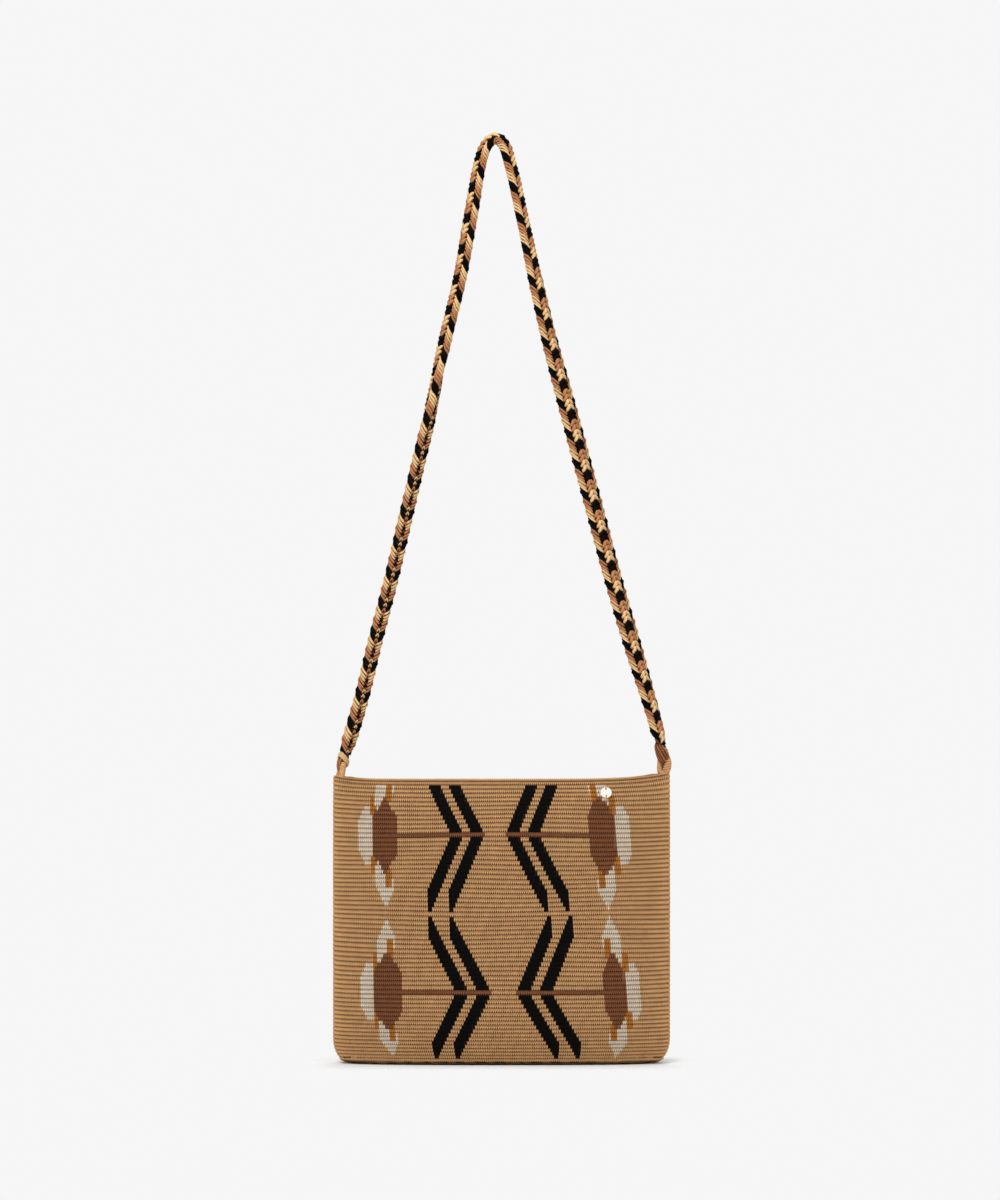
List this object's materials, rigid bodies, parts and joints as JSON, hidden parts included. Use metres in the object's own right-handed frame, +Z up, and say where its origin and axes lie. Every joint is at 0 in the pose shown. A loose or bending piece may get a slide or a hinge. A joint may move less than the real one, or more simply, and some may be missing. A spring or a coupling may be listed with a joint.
{
  "type": "crocheted shoulder bag",
  "caption": "Tapestry-crocheted mochila: a slim hollow bag with an open top, a long plaited shoulder strap and corded corner loops.",
  "frame": {"origin": "middle of the base, on the surface that the bag stands on", "axes": "+Z up towards the strap, +X along the bag to its right corner as its front is seen, -Y out of its front"},
  "size_m": [0.2705, 0.05, 0.7423],
  "materials": {
    "camel_yarn": "matt camel cotton yarn in crocheted rounds",
    "terracotta_yarn": "plaited cotton yarn",
    "sand_yarn": "light sand cotton yarn",
    "ochre_yarn": "ochre cotton yarn",
    "black_yarn": "black cotton yarn",
    "brown_yarn": "dark brown cotton yarn",
    "cream_yarn": "cream cotton yarn",
    "disc_metal": "polished pale gold"
  },
  "bodies": {
    "root": {"bag_body": "camel_yarn", "strap": "terracotta_yarn", "strap_loop_left": "camel_yarn", "strap_loop_right": "camel_yarn", "strap_binding_left": "sand_yarn", "strap_binding_right": "sand_yarn", "charm_disc": "disc_metal", "disc_thread_upper": "ochre_yarn", "disc_thread_lower": "ochre_yarn"}
  },
  "joints": []
}
